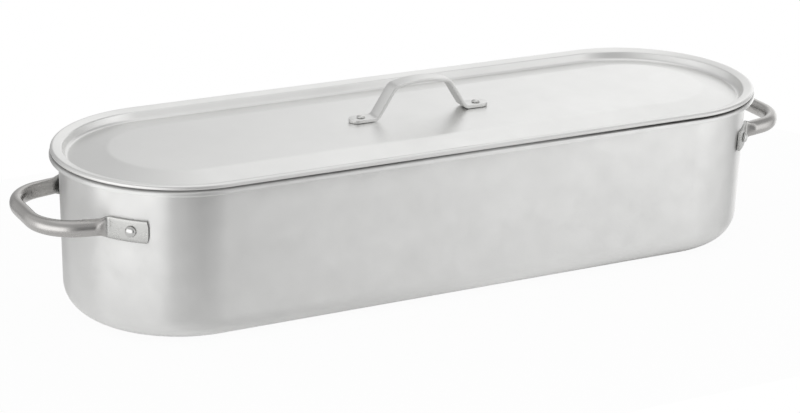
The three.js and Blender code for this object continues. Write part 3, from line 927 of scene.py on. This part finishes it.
def rack_handle_shape():
    tab_level = RACK_PLATE_TOP + SEAT_GAP + RACK_STRAP_THICKNESS / 2
    top_level = PAN_HEIGHT - RACK_HANDLE_TOP_GAP - RACK_STRAP_THICKNESS / 2
    half = [
        (-RACK_HANDLE_WIDTH / 2 - RACK_TAB_LENGTH, tab_level),
        (-RACK_HANDLE_WIDTH / 2, tab_level, RACK_BEND_RADIUS),
        (-RACK_HANDLE_WIDTH / 2, top_level, RACK_HANDLE_TOP_RADIUS),
    ]
    path = rounded_path([*half, *mirrored(half)])
    return across_pan(strap(path, RACK_STRAP_THICKNESS, RACK_STRAP_WIDTH, RACK_STRAP_EDGE))


def rack_foot_shape():
    tab_level = RACK_PLATE_TOP - RACK_SHEET - SEAT_GAP - RACK_STRAP_THICKNESS / 2
    toe_level = PAN_WALL + SEAT_GAP + RACK_STRAP_THICKNESS / 2
    leg = RACK_HANDLE_WIDTH / 2
    path = rounded_path([
        (leg + RACK_TAB_LENGTH, tab_level),
        (leg, tab_level, RACK_BEND_RADIUS),
        (leg, toe_level, RACK_BEND_RADIUS),
        (leg - RACK_TOE_LENGTH, toe_level),
    ])
    return across_pan(strap(path, RACK_STRAP_THICKNESS, RACK_STRAP_WIDTH, RACK_STRAP_EDGE))


def build_rack():
    piece("rack_sheet", rack_plate_shape(), "rack_plate", "rack", "rack_aluminium")
    rivet_seat = RACK_PLATE_TOP + RACK_STRAP_THICKNESS + 2 * SEAT_GAP
    for end, side in (("left", -1), ("right", 1)):
        move = Matrix.Translation((side * RACK_HANDLE_X, 0, 0))
        piece(f"rack_loop_{end}", placed(rack_handle_shape(), move),
              f"rack_handle_{end}", "rack", "strap_aluminium")
        for place, turn, across in (("front", math.pi, -1), ("back", 0, 1)):
            piece(f"rack_leg_{end}_{place}",
                  placed(rack_foot_shape(), move @ Matrix.Rotation(turn, 4, "Z")),
                  f"rack_foot_{end}_{place}", "rack", "rack_aluminium")
            seat = Matrix.Translation((side * RACK_HANDLE_X, across * RACK_TAB_MIDDLE,
                                       rivet_seat))
            piece(f"rack_leg_rivet_{end}_{place}",
                  placed(rivet(RACK_RIVET_GRIP, SMALL_RIVET), seat),
                  f"rack_rivet_{end}_{place}", "rack", "rivet_aluminium")


# Floor, light and camera

def floor_glow(tree):
    """How much a ray sees of the floor's white glow rather than its lit surface: camera rays
    most of it, and mirrored ones less, and none near the foot of the pan."""
    path = node_of(tree, "ShaderNodeLightPath").outputs
    seen = math_of(tree, "MULTIPLY", path["Is Camera Ray"], FLOOR_GLOW_SEEN)
    mirrored_ray = math_of(tree, "MAXIMUM", path["Is Glossy Ray"], path["Is Transmission Ray"])
    place = node_of(tree, "ShaderNodeTexCoord")
    axes = node_of(tree, "ShaderNodeSeparateXYZ")
    tree.links.new(place.outputs["Object"], axes.inputs[0])
    past_run = math_of(tree, "SUBTRACT", math_of(tree, "ABSOLUTE", axes.outputs[0]),
                       HALF_RUN * MM)
    past_run = math_of(tree, "MAXIMUM", past_run, 0)
    aside = math_of(tree, "ABSOLUTE", axes.outputs[1])
    squares = math_of(tree, "ADD", math_of(tree, "POWER", past_run, 2),
                      math_of(tree, "POWER", aside, 2))
    clear = spread(tree, math_of(tree, "SQRT", squares), 0, FLOOR_GLOW_MIRRORED,
                   FLOOR_GLOW_START * MM, FLOOR_GLOW_FULL * MM)
    return math_of(tree, "MAXIMUM", seen, math_of(tree, "MULTIPLY", mirrored_ray, clear))


def make_floor():
    mesh = bpy.data.meshes.new("floor")
    rim = [Vector(spot) * MM for spot in plan_ring(FLOOR_RADIUS, 0)]
    mesh.from_pydata(rim, [], [tuple(range(len(rim)))])
    floor = bpy.data.objects.new("floor", mesh)
    bpy.context.scene.collection.objects.link(floor)
    floor.location.z = -FLOOR_DROP * MM
    made = bpy.data.materials.new("floor")
    made.use_nodes = True
    tree = made.node_tree
    tree.nodes.clear()
    pale = node_of(tree, "ShaderNodeBsdfDiffuse")
    pale.inputs["Color"].default_value = (*FLOOR_COLOUR, 1)
    glow = node_of(tree, "ShaderNodeEmission")
    mixed = node_of(tree, "ShaderNodeMixShader")
    out = node_of(tree, "ShaderNodeOutputMaterial")
    tree.links.new(floor_glow(tree), mixed.inputs[0])
    tree.links.new(pale.outputs[0], mixed.inputs[1])
    tree.links.new(glow.outputs[0], mixed.inputs[2])
    tree.links.new(mixed.outputs[0], out.inputs[0])
    mesh.materials.append(made)


def studio_grey(level):
    shade = level / STUDIO_STRENGTH
    return shade, shade, shade, 1


def studio_ring(tree, share, levels):
    """The brightness at each share of a turn from the back."""
    ramp = node_of(tree, "ShaderNodeValToRGB")
    ramp.color_ramp.interpolation = "EASE"
    stops = ramp.color_ramp.elements
    while len(stops) > 1:
        stops.remove(stops[-1])
    stops[0].position = 0
    for index, (degrees, level) in enumerate(levels):
        stop = stops[0] if index == 0 else stops.new((degrees + 180) / 360)
        stop.color = studio_grey(level)
    tree.links.new(share, ramp.inputs[0])
    return ramp.outputs[0]


def rise_over(tree, up, degrees):
    """0 below and 1 above a range of heights in degrees, from the upward part of a ray."""
    low, high = degrees
    return spread(tree, up, 0, 1, math.sin(math.radians(low)), math.sin(math.radians(high)))


def make_world():
    """Camera rays see plain white, and all others the studio, which the metal mirrors."""
    world = bpy.data.worlds.new("studio")
    bpy.context.scene.world = world
    world.use_nodes = True
    tree = world.node_tree
    tree.nodes.clear()
    aim = node_of(tree, "ShaderNodeTexCoord")
    axes = node_of(tree, "ShaderNodeSeparateXYZ")
    tree.links.new(aim.outputs["Generated"], axes.inputs[0])
    east, north, up = axes.outputs
    azimuth = math_of(tree, "ARCTAN2", east, math_of(tree, "MULTIPLY", north, -1))
    share = math_of(tree, "ADD", math_of(tree, "MULTIPLY", azimuth, 0.5 / math.pi), 0.5)
    walls = mix_of(tree, rise_over(tree, up, LOW_TO_HIGH), studio_ring(tree, share, STUDIO_LOW),
                   studio_ring(tree, share, STUDIO_HIGH))
    all_round = mix_of(tree, rise_over(tree, up, HIGH_TO_TOP), walls, studio_grey(STUDIO_TOP))
    light = node_of(tree, "ShaderNodeBackground")
    light.inputs["Strength"].default_value = STUDIO_STRENGTH
    tree.links.new(all_round, light.inputs[0])
    white = node_of(tree, "ShaderNodeBackground")
    white.inputs[0].default_value = (1, 1, 1, 1)
    path = node_of(tree, "ShaderNodeLightPath")
    mixed = node_of(tree, "ShaderNodeMixShader")
    tree.links.new(path.outputs["Is Camera Ray"], mixed.inputs[0])
    tree.links.new(light.outputs[0], mixed.inputs[1])
    tree.links.new(white.outputs[0], mixed.inputs[2])
    out = node_of(tree, "ShaderNodeOutputWorld")
    tree.links.new(mixed.outputs[0], out.inputs[0])


def make_camera():
    flat = math.cos(CAMERA_PITCH)
    ahead = Vector((math.sin(CAMERA_YAW) * flat, math.cos(CAMERA_YAW) * flat,
                    -math.sin(CAMERA_PITCH)))
    right = Vector((math.cos(CAMERA_YAW), -math.sin(CAMERA_YAW), 0))
    down = ahead.cross(right)
    rolled_right = right * math.cos(CAMERA_ROLL) + down * math.sin(CAMERA_ROLL)
    rolled_down = down * math.cos(CAMERA_ROLL) - right * math.sin(CAMERA_ROLL)
    data = bpy.data.cameras.new("camera")
    data.sensor_width = CAMERA_SENSOR
    data.lens = CAMERA_LENS
    data.clip_start, data.clip_end = CAMERA_RANGE
    camera = bpy.data.objects.new("camera", data)
    bpy.context.scene.collection.objects.link(camera)
    axes = Matrix((rolled_right, -rolled_down, -ahead)).transposed()
    camera.matrix_world = Matrix.Translation(Vector(CAMERA_PLACE) * MM) @ axes.to_4x4()
    bpy.context.scene.camera = camera


build_pan()
build_end_handles()
build_lid()
build_rack()
make_floor()
make_world()
make_camera()
bpy.context.scene.view_settings.view_transform = "Standard"
